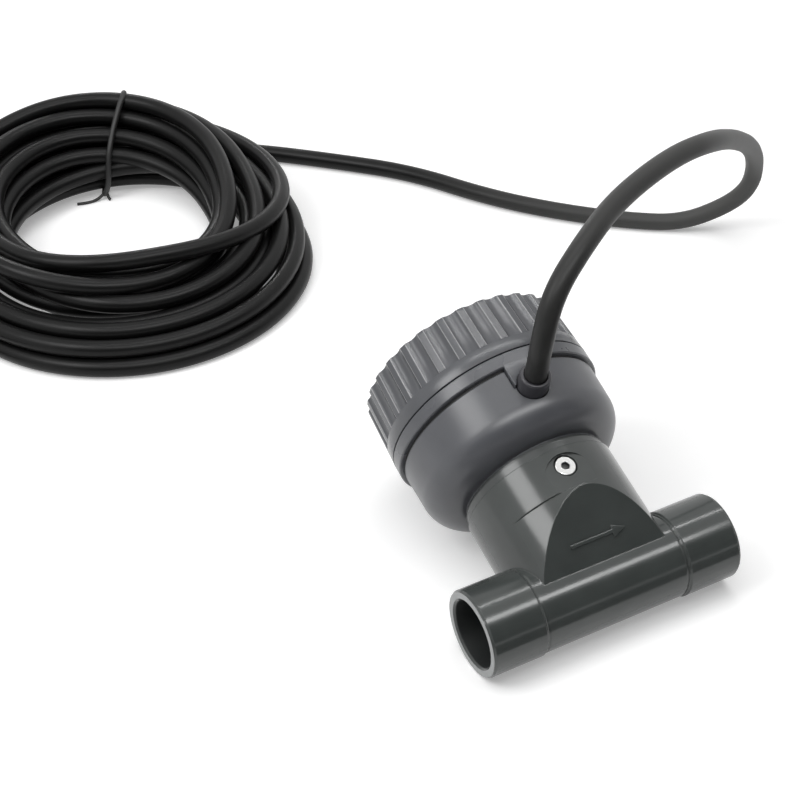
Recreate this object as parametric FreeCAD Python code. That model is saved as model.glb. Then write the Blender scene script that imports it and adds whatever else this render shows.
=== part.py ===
# Digital liquid flow meter: a paddle-wheel head plugged into a socket tee, with its cable coiled beside it.
# It is modelled upright, pipe along X and branch along Z, and then laid on its back on the table.
import FreeCAD, Part
import math
import os

V = FreeCAD.Vector
X_AXIS = V(1, 0, 0)
Y_AXIS = V(0, 1, 0)
Z_AXIS = V(0, 0, 1)

# Clearances in millimetres
SLIDE_GAP = 0.3      # between a piece and the wall that it slips into
SHAFT_GAP = 0.05     # radial, shaft in bush, screw in pilot hole
TURN_GAP = 0.1       # between faces that turn or lift on each other

# Chamfer along the outer edges of the moulded shells
EDGE = 0.4

# Tee: the run along X, the branch along Z, heights counted from the pipe's axis
RUN_LENGTH = 102.6
SOCKET_R = 12.5
SOCKET_DEPTH = 19.0
SOCKET_WALL = 3.75
MOUTH_CHAMFER = 0.9
COLLAR_LENGTH = 22.0
PIPE_R = 15.7
NOTCH = 0.3              # V-groove beside each collar
NOTCH_W = 1.0
FLOW_R = 10.0
BRANCH_R = 29.6
BRANCH_TOP = 41.5
BRANCH_BORE_R = 23.0
BRANCH_BASE_STEP = 0.7   # most that the base of the branch is drawn in, on its left front
BRANCH_BASE_SPREAD = 54.0  # degrees from the front over which it is drawn in
BRANCH_BASE_TOP = 25.4
SHOULDER = 24.0
WELL_R = 14.5
WELL_FLOOR = 6.5
FLAT_ANGLE = 30.0        # slope of the front flat, from the branch's axis
FLAT_TOP = 24.8
TABLE_GAP = 0.5          # between the back flat and the table
SCREW_FLAT_R = 10.0
SCREW_FLAT_DEPTH = 1.15
SCREW_FLAT_DROP = 5.4    # from the lock screw's axis to the middle of the flat's round top

# Lock screw, M4 with a low head
LOCK_DROP = 7.1          # from the branch's rim to the screw's axis
LOCK_HEAD_R = 4.0
LOCK_HEAD_EDGE = 0.4
LOCK_HEAD_H = 2.6
LOCK_SHANK_R = 2.0
LOCK_REACH = 3.5         # how far the tip goes into the plug
LOCK_HEX = 3.0
LOCK_HEX_DEPTH = 1.6
LOCK_POCKET_GAP = 0.35

# Lower housing
RING_H = 3.0             # neck ring that rests on the tee's rim
RING_INSET = 0.6
NECK_H = 1.9
BOWL_R = 40.2
BOWL_TAPER = 0.3
BOWL_CORNER = 12.0
BOWL_H = 25.6
BOWL_WALL = 2.5
BOWL_FLOOR = 3.0
O_RING_R = 1.15
O_RING_DROPS = (7.8, 4.2)   # below the lock screw's axis
O_RING_STRETCH = 0.05
GROOVE_GAP = 0.15
NOSE_BOTTOM = 8.5
PICKUP_POCKET_R = 9.0
PICKUP_FLOOR = 27.0

# Paddle wheel and axle
WHEEL_R = 9.5
WHEEL_W = 9.0
WHEEL_HEIGHT = 13.0
WHEEL_SIDE_GAP = 1.0
WHEEL_TOP_GAP = 1.0
HUB_R = 3.6
BLADES = 6
BLADE_T = 2.2
BUSH_R = 2.5
BUSH_L = 2.6
AXLE_R = 1.25
AXLE_SEAT = 5.0          # length of axle in each cheek
MAGNET = (4.6, 1.1, 2.8) # across, thick, along the blade

# Collar ring
RIM_GAP = 0.9            # dark gap above the bowl's rim, filled inside by the gasket
BAND_OVERHANG = 1.5      # of the collar band, past the bowl
BAND_H = 5.3
SPIGOT_H = 2.9
SPIGOT_WALL = 2.5
WEB_RISE = 2.0
WEB_T = 2.5
WEB_HOLE_R = 22.0
THREAD_INSET = 4.35      # from the band to the threaded neck
THREAD_WALL = 2.75
LEDGE = 2.0
TAB_HALF = 6.5
TAB_END = 1.5            # the tab ends this far above the gland's axis
GASKET_INSET = 0.5

# Housing and board screws
SCREW_R = 1.45
SCREW_HEAD_R = 2.75
SCREW_HEAD_H = 2.0
SCREW_L = 10.0
SCREW_INSET = 8.7        # from the bowl's bore to the screw circle
SCREW_ANGLES = (45, 135, 225, 315)
PILLAR_R = 3.5
PILOT_DEPTH = 12.0
STANDOFF_R = 3.0
STANDOFF_H = 6.9
STANDOFF_INSET = 5.6     # from the board's bore to the standoff circle
STANDOFF_ANGLES = (90, 210, 330)
BOARD_SCREW_L = 6.0

# Cap and window
CAP_H = 24.4
CAP_SKIRT_H = 5.5
SKIRT_DRAFT = 0.3        # how much the skirt narrows
CAP_DRAFT = 0.9          # how much the fluted part narrows
CAP_CHAMFER = 0.4
CAP_LIP_H = 3.2
CAP_LIP_W = 7.3
CAP_BEVEL = 1.2
THREAD_GAP = 0.4
FLUTES = 30
FLUTE_R = 4.0
FLUTE_DEPTH = 1.4
WINDOW_T = 3.0
WINDOW_LAP = 0.3         # how far the window's edge snaps into the cap's groove
SEAL_T = 1.5
SEAL_INSET = 0.25

# Display, boards and buttons
FACE_RECESS = 1.5
FACE_T = 2.0
BOARD_T = 1.6
LCD_W = 46.0
LCD_D = 24.0
LCD_MIDDLE = 4.5
LCD_WALL = 2.0
LCD_GLASS_T = 2.0
LCD_LAP = 1.5            # how far the face covers the glass's edge
BUTTON_R = 3.0
BUTTON_FLANGE = 1.0
BUTTON_FLANGE_T = 0.8
BUTTON_RISE = 1.2
BUTTON_TRAVEL = 0.5
BUTTON_PITCH = 14.0
BUTTON_ROW = -17.0
SWITCH_SIZE = 6.0
SWITCH_H = 3.2
PLUNGER_R = 1.7
TERMINAL = (20.0, 8.0, 8.5)
TERMINAL_ROW = -8.0
CHIP = (10.0, 10.0, 1.4)
CHIP_ROW = 8.0
CAPACITOR_R = 3.2
CAPACITOR_H = 7.0
CAPACITOR_X = 12.0
PICKUP_BOARD = (10.0, 1.6, 20.0)
PICKUP_CHIP = (4.0, 1.5, 3.0)
WIRE_R = 0.6
WIRE_PITCH = 3.0
WIRES = 3
WIRE_BENDS = ((0, 0), (0, 0.2), (1.5, 0.4), (-1.5, 0.6), (0, 0.8), (0, 1))   # sideways, share of the rise

# Cable and gland
CABLE_R = 4.1
GLAND_R = 5.8
GLAND_DROP = 9.0         # from the bowl's rim to the gland's axis
GLAND_RISE = 6.3         # boss above the bowl
GLAND_ROUND = 0.9
GLAND_FLANGE = 1.1
GLAND_FLANGE_T = 2.0
GLAND_INNER_L = 1.5
GLAND_BORE_GAP = 0.35
CORES = 4
CORE_R = 0.8
CORE_LAY = 1.75          # spacing of the cores where they leave the sheath
CORE_PITCH = 4.0         # spacing of the cores at the terminal block
CORE_BENDS = ((7.0, 0.0), (17.0, 2.0))   # along and up from the gland's inner end
CORE_DROP = 6.0          # straight run below the terminal block
STRIP_LENGTH = 33.0      # bare cores at the cable's far end
STRIP_SPREAD = 3.5       # added spacing of the core ends there
STRIP_BENDS = ((0, 0, 0), (0.25, 0, 0), (0.55, 0.3, 1), (1, 1, 1))   # shares of length, spread and drop
ARC_SHARE = 0.45

# Lead as it lies in the photo, on the table frame; its first points follow the gland
LEAD_POINTS = [(-2.2, -12.8, 100.1), (3.5, -10.8, 117.7), (21.2, -2.2, 127.9), (45.7, 13.9, 129.7),
               (77.6, 27.6, 130.4), (108.3, 39.9, 123.9), (142.2, 64.7, 100.8), (173.5, 99.8, 71.5),
               (201.1, 134, 47.1), (215, 144.3, 24.1), (202.1, 153.6, 5.1), (175.3, 159.7, 4.1),
               (160.7, 171, 4.1), (136.8, 196.1, 4.1), (114.4, 226.5, 4.1), (93.9, 268.7, 4.1),
               (65.9, 300.8, 4.1), (36.5, 331.5, 4.1), (9, 353, 4.1), (-26, 360, 4.1)]
TAIL_POINTS = [(-138, 262, 4.1), (-146, 245, 4.1), (-156, 226, 4.1), (-171, 211, 4.1), (-191, 203, 4.1),
               (-212, 206, 4.1)]
COIL_H = 40.0
COIL_LEAN = 7.0          # slope of the coil's top, low at the front
COIL_FOOT = ((-58, 271), (84, 99), (56, 62))    # middle, outer and inner half widths on the table
COIL_CROWN = ((-55, 295), (66, 74), (47, 53))   # the same at the top
TIE_X = -36.0
TIE_W = 2.4
TIE_T = 1.3

# Levels that follow from the sizes above
COLLAR_R = SOCKET_R + SOCKET_WALL
LOCK_HEIGHT = BRANCH_TOP - LOCK_DROP
SCREW_FLAT_MIDDLE = LOCK_HEIGHT - SCREW_FLAT_DROP
O_RING_HEIGHTS = tuple(LOCK_HEIGHT - drop for drop in O_RING_DROPS)
PLUG_R = BRANCH_BORE_R - SLIDE_GAP
NOSE_R = WELL_R - SLIDE_GAP
UNDERSIDE = BRANCH_TOP + RING_H + NECK_H
BOWL_RIM = UNDERSIDE + BOWL_H
BOWL_LOW_R = BOWL_R - BOWL_TAPER
NECK_R = BOWL_LOW_R - BOWL_CORNER
CORNER_MIDDLE = UNDERSIDE + BOWL_CORNER
BOWL_BORE_R = BOWL_R - BOWL_WALL
BOWL_INSIDE = UNDERSIDE + BOWL_FLOOR
INNER_CORNER = BOWL_CORNER - BOWL_WALL
INNER_MIDDLE = BOWL_INSIDE + INNER_CORNER
BAND_R = BOWL_R + BAND_OVERHANG
BAND_BOTTOM = BOWL_RIM + RIM_GAP
BAND_TOP = BAND_BOTTOM + BAND_H
SPIGOT_R = BOWL_BORE_R - SLIDE_GAP
WEB_BOTTOM = BAND_BOTTOM + WEB_RISE
WEB_TOP = WEB_BOTTOM + WEB_T
CAP_BOTTOM = BAND_TOP + SLIDE_GAP
CAP_TOP = CAP_BOTTOM + CAP_H
FLUTE_BOTTOM = CAP_BOTTOM + CAP_SKIRT_H
THREAD_R = BAND_R - THREAD_INSET
CAP_SKIRT_TOP_R = BAND_R - SKIRT_DRAFT
CAP_TOP_R = CAP_SKIRT_TOP_R - CAP_DRAFT
CAP_OPENING_R = CAP_TOP_R - CAP_LIP_W
CAP_BORE_R = THREAD_R + THREAD_GAP
LIP_BOTTOM = CAP_TOP - CAP_LIP_H
WINDOW_TOP = LIP_BOTTOM - TURN_GAP
WINDOW_BOTTOM = WINDOW_TOP - WINDOW_T
SEAL_BOTTOM = WINDOW_BOTTOM - SEAL_T
NECK_TOP = SEAL_BOTTOM - TURN_GAP
NECK_BORE_R = THREAD_R - THREAD_WALL
BOARD_BORE_R = NECK_BORE_R - LEDGE
SCREW_CIRCLE = BOWL_BORE_R - SCREW_INSET
STANDOFF_CIRCLE = BOARD_BORE_R - STANDOFF_INSET
FACE_TOP = NECK_TOP - FACE_RECESS
FACE_BOTTOM = FACE_TOP - FACE_T
BOARD_BOTTOM = WEB_TOP + STANDOFF_H
BOARD_TOP = BOARD_BOTTOM + BOARD_T
SLOT_HALF = WHEEL_W / 2 + WHEEL_SIDE_GAP
SLOT_TOP = WHEEL_HEIGHT + WHEEL_R + WHEEL_TOP_GAP
GLAND_HEIGHT = BOWL_RIM - GLAND_DROP
TAB_BOTTOM = GLAND_HEIGHT + TAB_END
GLAND_TIP = -(BOWL_R + GLAND_RISE)
FLANGE_FOOT = max(0, INNER_MIDDLE - GLAND_HEIGHT + GLAND_R + GLAND_FLANGE)   # below the bowl's straight wall
GLAND_SEAT = -(NECK_R + math.sqrt(INNER_CORNER ** 2 - FLANGE_FOOT ** 2) - SLIDE_GAP)
GLAND_INNER = GLAND_SEAT + GLAND_FLANGE_T + GLAND_INNER_L
SCREW_FLAT_Y = -(BRANCH_R - SCREW_FLAT_DEPTH)
BUTTON_BOTTOM = FACE_BOTTOM - SLIDE_GAP - BUTTON_FLANGE_T
BUTTON_XS = (-BUTTON_PITCH, 0, BUTTON_PITCH)
CORE_PLACES = tuple(i - (CORES - 1) / 2 for i in range(CORES))
WIRE_XS = tuple((i - (WIRES - 1) / 2) * WIRE_PITCH for i in range(WIRES))


# Forms

def post(r, z0, z1, x=0, y=0):
    """Upright cylinder."""
    return Part.makeCylinder(r, z1 - z0, V(x, y, z0), Z_AXIS)


def rod(r, y0, y1, x=0, z=0):
    """Cylinder along Y."""
    return Part.makeCylinder(r, y1 - y0, V(x, y0, z), Y_AXIS)


def pipe(r, x0, x1):
    """Cylinder along the run."""
    return Part.makeCylinder(r, x1 - x0, V(x0, 0, 0), X_AXIS)


def tube_ring(r_out, r_in, z0, z1):
    return post(r_out, z0, z1).cut(post(r_in, z0, z1))


def block(x0, x1, y0, y1, z0, z1):
    return Part.makeBox(x1 - x0, y1 - y0, z1 - z0, V(x0, y0, z0))


def plate(width, depth, z0, z1, x=0, y=0):
    """Block about an upright centre line."""
    return block(x - width / 2, x + width / 2, y - depth / 2, y + depth / 2, z0, z1)


def turned(outline):
    """Solid of revolution about Z. A point (r, z) ends a line, (r, z, mid_r, mid_z) ends an arc."""
    points = [V(p[0], 0, p[1]) for p in outline]
    edges = []
    for i, end in enumerate(outline):
        start = points[i - 1]
        if len(end) == 4:
            edges.append(Part.Arc(start, V(end[2], 0, end[3]), points[i]).toShape())
        else:
            edges.append(Part.LineSegment(start, points[i]).toShape())
    face = Part.Face(Part.Wire(edges))
    return face.revolve(V(0, 0, 0), Z_AXIS, 360)


def arc_to(r, z, middle, radius, degrees):
    """End point of an arc whose middle point lies on the circle at the given angle."""
    angle = math.radians(degrees)
    return (r, z, middle[0] + radius * math.cos(angle), middle[1] + radius * math.sin(angle))


def around(circle, angles):
    """Places on a circle about Z."""
    return [(circle * math.cos(math.radians(a)), circle * math.sin(math.radians(a))) for a in angles]


def joined(shapes):
    result = shapes[0]
    for shape in shapes[1:]:
        result = result.fuse(shape)
    return result.removeSplitter()


def without(shape, tools):
    for tool in tools:
        shape = shape.cut(tool)
    return shape


def spun(shape, count):
    """Copies turned evenly about Z."""
    copies = []
    for i in range(count):
        copy = shape.copy()
        copy.rotate(V(0, 0, 0), Z_AXIS, 360.0 * i / count)
        copies.append(copy)
    return copies


def route(points):
    """Path of straight runs joined by tangent arcs as large as the runs allow, and its bend radii."""
    points = [V(*p) for p in points]
    edges = []
    radii = []
    last = points[0]
    for before, corner, after in zip(points, points[1:], points[2:]):
        into = corner - before
        out = after - corner
        turn = into.getAngle(out)
        reach = ARC_SHARE * min(into.Length, out.Length)
        radius = reach / math.tan(turn / 2)
        into.normalize()
        out.normalize()
        arc_start = corner - into * reach
        arc_end = corner + out * reach
        inward = out - into
        inward.normalize()
        arc_middle = corner + inward * (radius / math.cos(turn / 2) - radius)
        edges.append(Part.LineSegment(last, arc_start).toShape())
        edges.append(Part.Arc(arc_start, arc_middle, arc_end).toShape())
        radii.append(radius)
        last = arc_end
    edges.append(Part.LineSegment(last, points[-1]).toShape())
    return Part.Wire(edges), radii


def lead(points, r):
    """Round lead along a route."""
    path, radii = route(points)
    start = V(*points[0])
    direction = V(*points[1]) - start
    section = Part.Wire(Part.makeCircle(r, start, direction))
    solid = path.makePipeShell([section], True, False)
    return solid, path, radii


def bare_lead(points, r):
    return lead(points, r)[0]


# Pieces of the tee

def sloping_flat(angle, reach):
    """Block that cuts the branch along a plane at this distance from the pipe's axis, on the -Y side."""
    size = 4 * BRANCH_R
    cutter = Part.makeBox(size, size, size, V(-size / 2, -size - reach, -size / 2))
    cutter.rotate(V(0, 0, 0), X_AXIS, angle)
    return cutter


def branch_base():
    """Foot of the branch. A larger round, off the axis, draws it in on its left front."""
    half = math.radians(BRANCH_BASE_SPREAD / 2)
    half_chord = BRANCH_R * math.sin(half)
    rise = BRANCH_R * (1 - math.cos(half)) - BRANCH_BASE_STEP
    large_r = (half_chord ** 2 + rise ** 2) / (2 * rise)
    back = large_r - rise - BRANCH_R * math.cos(half)
    drawn_in = post(large_r, 0, BRANCH_BASE_TOP, back * math.sin(half), back * math.cos(half))
    return post(BRANCH_R, 0, BRANCH_BASE_TOP).common(drawn_in)


def flow_tee(rest_tilt):
    half = RUN_LENGTH / 2
    step = half - COLLAR_LENGTH
    branch = branch_base().fuse(post(BRANCH_R, BRANCH_BASE_TOP, BRANCH_TOP)).removeSplitter()
    angle = math.radians(FLAT_ANGLE)
    front_reach = BRANCH_R * math.cos(angle) - FLAT_TOP * math.sin(angle)
    branch = branch.cut(sloping_flat(FLAT_ANGLE, front_reach))
    back = sloping_flat(rest_tilt, COLLAR_R - TABLE_GAP)
    back.rotate(V(0, 0, 0), Z_AXIS, 180)
    branch = branch.cut(back)
    flat = rod(SCREW_FLAT_R, SCREW_FLAT_Y - BRANCH_R, SCREW_FLAT_Y, 0, SCREW_FLAT_MIDDLE)
    branch = branch.cut(flat.cut(post(3 * BRANCH_R, 0, BRANCH_BASE_TOP)))
    run = pipe(PIPE_R, -half, half)
    groove = pipe(COLLAR_R, step - NOTCH_W, step)
    groove = groove.cut(Part.makeCone(PIPE_R, PIPE_R - NOTCH, NOTCH_W, V(step - NOTCH_W, 0, 0), X_AXIS))
    run = without(run, [groove, groove.rotated(V(0, 0, 0), Z_AXIS, 180)])
    body = branch.fuse(run)
    for side in (-1, 1):
        collar = pipe(COLLAR_R, step, half)
        rims = [e for e in collar.Edges if e.Closed]
        collar = collar.makeChamfer(MOUTH_CHAMFER, rims)
        if side < 0:
            collar.rotate(V(0, 0, 0), Z_AXIS, 180)
        body = body.fuse(collar)
    bores = [pipe(FLOW_R, -half, half), pipe(SOCKET_R, half - SOCKET_DEPTH, half),
             pipe(SOCKET_R, -half, SOCKET_DEPTH - half), post(BRANCH_BORE_R, SHOULDER, BRANCH_TOP),
             post(WELL_R, WELL_FLOOR, SHOULDER)]
    lead_in = Part.makeCone(SOCKET_R, SOCKET_R + MOUTH_CHAMFER, MOUTH_CHAMFER,
                            V(half - MOUTH_CHAMFER, 0, 0), X_AXIS)
    bores.append(lead_in)
    bores.append(lead_in.rotated(V(0, 0, 0), Z_AXIS, 180))
    bores.append(rod(LOCK_HEAD_R + LOCK_POCKET_GAP, SCREW_FLAT_Y, lock_seat(), 0, LOCK_HEIGHT))
    bores.append(rod(LOCK_SHANK_R + SHAFT_GAP, SCREW_FLAT_Y, 0, 0, LOCK_HEIGHT))
    return without(body, bores).removeSplitter()


def lock_seat():
    """Where the lock screw's head bears, a little below the flat."""
    return SCREW_FLAT_Y + LOCK_HEAD_H + TURN_GAP


def lock_screw():
    head_face = lock_seat() - LOCK_HEAD_H
    tip = -(PLUG_R - LOCK_REACH)
    head = rod(LOCK_HEAD_R, head_face, lock_seat(), 0, LOCK_HEIGHT)
    rim = min(head.Edges, key=lambda edge: edge.CenterOfMass.y)
    screw = head.makeChamfer(LOCK_HEAD_EDGE, [rim])
    screw = screw.fuse(rod(LOCK_SHANK_R, lock_seat(), tip, 0, LOCK_HEIGHT))
    corner = LOCK_HEX / math.sqrt(3)
    points = [V(x, head_face, LOCK_HEIGHT + z) for x, z in around(corner, range(0, 361, 60))]
    socket = Part.Face(Part.makePolygon(points)).extrude(V(0, LOCK_HEX_DEPTH, 0))
    return screw.cut(socket).removeSplitter()


# Head: lower housing and what it carries in the flow

def groove_points(height):
    """Outline of one O-ring groove, from below."""
    half = O_RING_R + GROOVE_GAP
    depth = groove_floor()
    return [(PLUG_R, height - half), (depth, height - half), (depth, height + half), (PLUG_R, height + half)]


def groove_floor():
    return BRANCH_BORE_R - O_RING_STRETCH - 2 * O_RING_R - GROOVE_GAP


def lower_housing():
    ring_r = BRANCH_R - RING_INSET
    outline = [(0, NOSE_BOTTOM), (NOSE_R, NOSE_BOTTOM), (NOSE_R, SHOULDER + TURN_GAP),
               (PLUG_R, SHOULDER + TURN_GAP)]
    for height in O_RING_HEIGHTS:
        outline += groove_points(height)
    outline += [(PLUG_R, BRANCH_TOP), (ring_r, BRANCH_TOP), (ring_r, BRANCH_TOP + RING_H),
                (NECK_R, BRANCH_TOP + RING_H), (NECK_R, UNDERSIDE),
                arc_to(BOWL_LOW_R, CORNER_MIDDLE, (NECK_R, CORNER_MIDDLE), BOWL_CORNER, -45),
                (BOWL_R, BOWL_RIM - EDGE), (BOWL_R - EDGE, BOWL_RIM), (BOWL_BORE_R, BOWL_RIM),
                (NECK_R + INNER_CORNER, INNER_MIDDLE),
                arc_to(NECK_R, BOWL_INSIDE, (NECK_R, INNER_MIDDLE), INNER_CORNER, -45),
                (0, BOWL_INSIDE)]
    body = turned(outline)
    places = around(SCREW_CIRCLE, SCREW_ANGLES)
    body = joined([body] + [post(PILLAR_R, BOWL_INSIDE - SLIDE_GAP, WEB_BOTTOM, x, y) for x, y in places])
    cuts = [post(SCREW_R + SHAFT_GAP, WEB_BOTTOM - PILOT_DEPTH, WEB_BOTTOM, x, y) for x, y in places]
    cuts.append(post(PICKUP_POCKET_R, PICKUP_FLOOR, BOWL_INSIDE))
    cuts.append(block(-NOSE_R, NOSE_R, -SLOT_HALF, SLOT_HALF, NOSE_BOTTOM, SLOT_TOP))
    cuts.append(rod(AXLE_R, -SLOT_HALF - AXLE_SEAT, SLOT_HALF + AXLE_SEAT, 0, WHEEL_HEIGHT))
    cuts.append(rod(LOCK_SHANK_R + SHAFT_GAP, -PLUG_R, -(PLUG_R - LOCK_REACH - SLIDE_GAP), 0, LOCK_HEIGHT))
    cuts.append(gland_hole())
    tab_half = TAB_HALF + SLIDE_GAP
    cuts.append(block(-tab_half, tab_half, -BOWL_R, GLAND_INNER, TAB_BOTTOM - SLIDE_GAP, BOWL_RIM))
    return without(body, cuts).removeSplitter()


def gland_hole():
    return rod(GLAND_R + SLIDE_GAP, GLAND_TIP, GLAND_INNER, 0, GLAND_HEIGHT)


def plug_o_rings():
    middle = BRANCH_BORE_R - O_RING_STRETCH - O_RING_R
    return Part.makeCompound([Part.makeTorus(middle, O_RING_R, V(0, 0, h)) for h in O_RING_HEIGHTS])


def rotor_axle():
    return rod(AXLE_R, -SLOT_HALF - AXLE_SEAT, SLOT_HALF + AXLE_SEAT, 0, WHEEL_HEIGHT)


def along_axle(shape):
    """Puts a shape made about Z at the origin on the wheel's axle."""
    shape.rotate(V(0, 0, 0), X_AXIS, -90)
    shape.translate(V(0, 0, WHEEL_HEIGHT))
    return shape


def magnet(clearance):
    """One magnet, set into the blade along X, open at the blade's tip."""
    across, thick, length = MAGNET
    return plate(length + clearance, thick + 2 * clearance, -across / 2 - clearance, across / 2 + clearance,
                 WHEEL_R - TURN_GAP - (length - clearance) / 2)


def paddle_wheel():
    half = WHEEL_W / 2
    blade = block(0, WHEEL_R, -BLADE_T / 2, BLADE_T / 2, -half, half)
    round_tip = post(WHEEL_R, -half, half)
    blade = blade.common(round_tip)
    wheel = joined([post(HUB_R, -half, half)] + spun(blade, BLADES))
    tip = magnet(SHAFT_GAP)
    tip = tip.fuse(tip.translated(V(TURN_GAP, 0, 0)))
    bores = spun(tip, BLADES)
    bores.append(post(AXLE_R + SLIDE_GAP, -half, half))
    bores.append(post(BUSH_R, half - BUSH_L, half))
    bores.append(post(BUSH_R, -half, BUSH_L - half))
    return along_axle(without(wheel, bores))


def rotor_magnets():
    return along_axle(Part.makeCompound(spun(magnet(0), BLADES)))


def rotor_bushes():
    half = WHEEL_W / 2
    bush = tube_ring(BUSH_R, AXLE_R + SHAFT_GAP, half - BUSH_L, half)
    return along_axle(Part.makeCompound([bush, bush.mirror(V(0, 0, 0), Z_AXIS)]))


def hall_board():
    width, thick, height = PICKUP_BOARD
    board = plate(width, thick, PICKUP_FLOOR, PICKUP_FLOOR + height)
    chip_w, chip_t, chip_h = PICKUP_CHIP
    chip = plate(chip_w, chip_t, PICKUP_FLOOR, PICKUP_FLOOR + chip_h, 0, (thick + chip_t) / 2)
    return board.fuse(chip).removeSplitter()


def hall_wires():
    bottom = PICKUP_FLOOR + PICKUP_BOARD[2]
    rise = BOARD_BOTTOM - bottom
    wires = []
    for x in WIRE_XS:
        points = [(x, aside, bottom + share * rise) for aside, share in WIRE_BENDS]
        wires.append(bare_lead(points, WIRE_R))
    return Part.makeCompound(wires)


# Head: collar ring, seals, cap and window

def collar_ring():
    spigot_bore = SPIGOT_R - SPIGOT_WALL
    spigot_bottom = BAND_BOTTOM - SPIGOT_H
    body = turned([(WEB_HOLE_R, WEB_BOTTOM), (spigot_bore, WEB_BOTTOM), (spigot_bore, spigot_bottom),
                   (SPIGOT_R, spigot_bottom), (SPIGOT_R, BAND_BOTTOM), (BAND_R - EDGE, BAND_BOTTOM),
                   (BAND_R, BAND_BOTTOM + EDGE), (BAND_R, BAND_TOP - EDGE), (BAND_R - EDGE, BAND_TOP),
                   (THREAD_R, BAND_TOP), (THREAD_R, NECK_TOP), (NECK_BORE_R, NECK_TOP),
                   (NECK_BORE_R, FACE_BOTTOM), (BOARD_BORE_R, FACE_BOTTOM), (BOARD_BORE_R, WEB_TOP),
                   (WEB_HOLE_R, WEB_TOP)])
    tab = tube_ring(BOWL_R, BOWL_BORE_R, TAB_BOTTOM, BAND_BOTTOM)
    tab = tab.common(block(-TAB_HALF, TAB_HALF, -BOWL_R, 0, TAB_BOTTOM, BAND_BOTTOM))
    tab = tab.cut(gland_hole())
    stands = around(STANDOFF_CIRCLE, STANDOFF_ANGLES)
    posts = [post(STANDOFF_R, WEB_TOP, BOARD_BOTTOM, x, y) for x, y in stands]
    body = joined([body, tab] + posts)
    pilots = [post(SCREW_R + SHAFT_GAP, BOARD_TOP - BOARD_SCREW_L, BOARD_BOTTOM, x, y) for x, y in stands]
    holes = [post(SCREW_R + SLIDE_GAP, WEB_BOTTOM, WEB_TOP, x, y)
             for x, y in around(SCREW_CIRCLE, SCREW_ANGLES)]
    return without(body, pilots + holes).removeSplitter()


def housing_gasket():
    gasket = tube_ring(BOWL_R - GASKET_INSET, BOWL_BORE_R, BOWL_RIM, BAND_BOTTOM)
    tab_half = TAB_HALF + SLIDE_GAP
    return gasket.cut(block(-tab_half, tab_half, -BOWL_R, 0, BOWL_RIM, BAND_BOTTOM))


def pan_screws(places, seat, length):
    screws = []
    for x, y in places:
        shank = post(SCREW_R, seat - length, seat, x, y)
        screws.append(shank.fuse(post(SCREW_HEAD_R, seat, seat + SCREW_HEAD_H, x, y)).removeSplitter())
    return Part.makeCompound(screws)


def cap_r_at(z):
    """Outside radius of the cap's fluted part."""
    share = (z - FLUTE_BOTTOM) / (CAP_TOP - FLUTE_BOTTOM)
    return CAP_SKIRT_TOP_R + share * (CAP_TOP_R - CAP_SKIRT_TOP_R)


def screw_cap():
    groove_r = CAP_BORE_R + WINDOW_LAP + SLIDE_GAP
    groove_bottom = WINDOW_BOTTOM - TURN_GAP
    body = turned([(CAP_BORE_R, CAP_BOTTOM), (BAND_R - EDGE, CAP_BOTTOM), (BAND_R, CAP_BOTTOM + EDGE),
                   (CAP_SKIRT_TOP_R, FLUTE_BOTTOM),
                   (cap_r_at(CAP_TOP - CAP_CHAMFER), CAP_TOP - CAP_CHAMFER),
                   (CAP_TOP_R - CAP_CHAMFER, CAP_TOP), (CAP_OPENING_R + CAP_BEVEL, CAP_TOP),
                   (CAP_OPENING_R, CAP_TOP - CAP_BEVEL), (CAP_OPENING_R, LIP_BOTTOM), (groove_r, LIP_BOTTOM),
                   (groove_r, groove_bottom), (CAP_BORE_R, groove_bottom)])
    slope = V(CAP_TOP_R - CAP_SKIRT_TOP_R, 0, CAP_TOP - FLUTE_BOTTOM)
    middle = V(CAP_SKIRT_TOP_R + FLUTE_R - FLUTE_DEPTH, 0, FLUTE_BOTTOM)
    flute = Part.makeCylinder(FLUTE_R, slope.Length + CAP_CHAMFER, middle, slope)
    return without(body, spun(flute, FLUTES))


def window():
    return post(CAP_BORE_R + WINDOW_LAP, WINDOW_BOTTOM, WINDOW_TOP)


def window_seal():
    return tube_ring(THREAD_R - SEAL_INSET, NECK_BORE_R + SEAL_INSET, SEAL_BOTTOM, WINDOW_BOTTOM)


# Head: boards, display and buttons

def main_board():
    board = post(BOARD_BORE_R - SLIDE_GAP, BOARD_BOTTOM, BOARD_TOP)
    places = around(STANDOFF_CIRCLE, STANDOFF_ANGLES)
    return without(board, [post(SCREW_R + SLIDE_GAP, BOARD_BOTTOM, BOARD_TOP, x, y) for x, y in places])


def board_components():
    width, depth, height = CHIP
    chip = plate(width, depth, BOARD_BOTTOM - height, BOARD_BOTTOM, 0, CHIP_ROW)
    cans = [post(CAPACITOR_R, BOARD_BOTTOM - CAPACITOR_H, BOARD_BOTTOM, x, CHIP_ROW)
            for x in (-CAPACITOR_X, CAPACITOR_X)]
    return Part.makeCompound([chip] + cans)


def terminal_block():
    width, depth, height = TERMINAL
    body = plate(width, depth, BOARD_BOTTOM - height, BOARD_BOTTOM, 0, TERMINAL_ROW)
    entry = CORE_R + SLIDE_GAP
    entries = [post(entry, BOARD_BOTTOM - height, BOARD_BOTTOM - height / 2, place * CORE_PITCH, TERMINAL_ROW)
               for place in CORE_PLACES]
    return without(body, entries)


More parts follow.
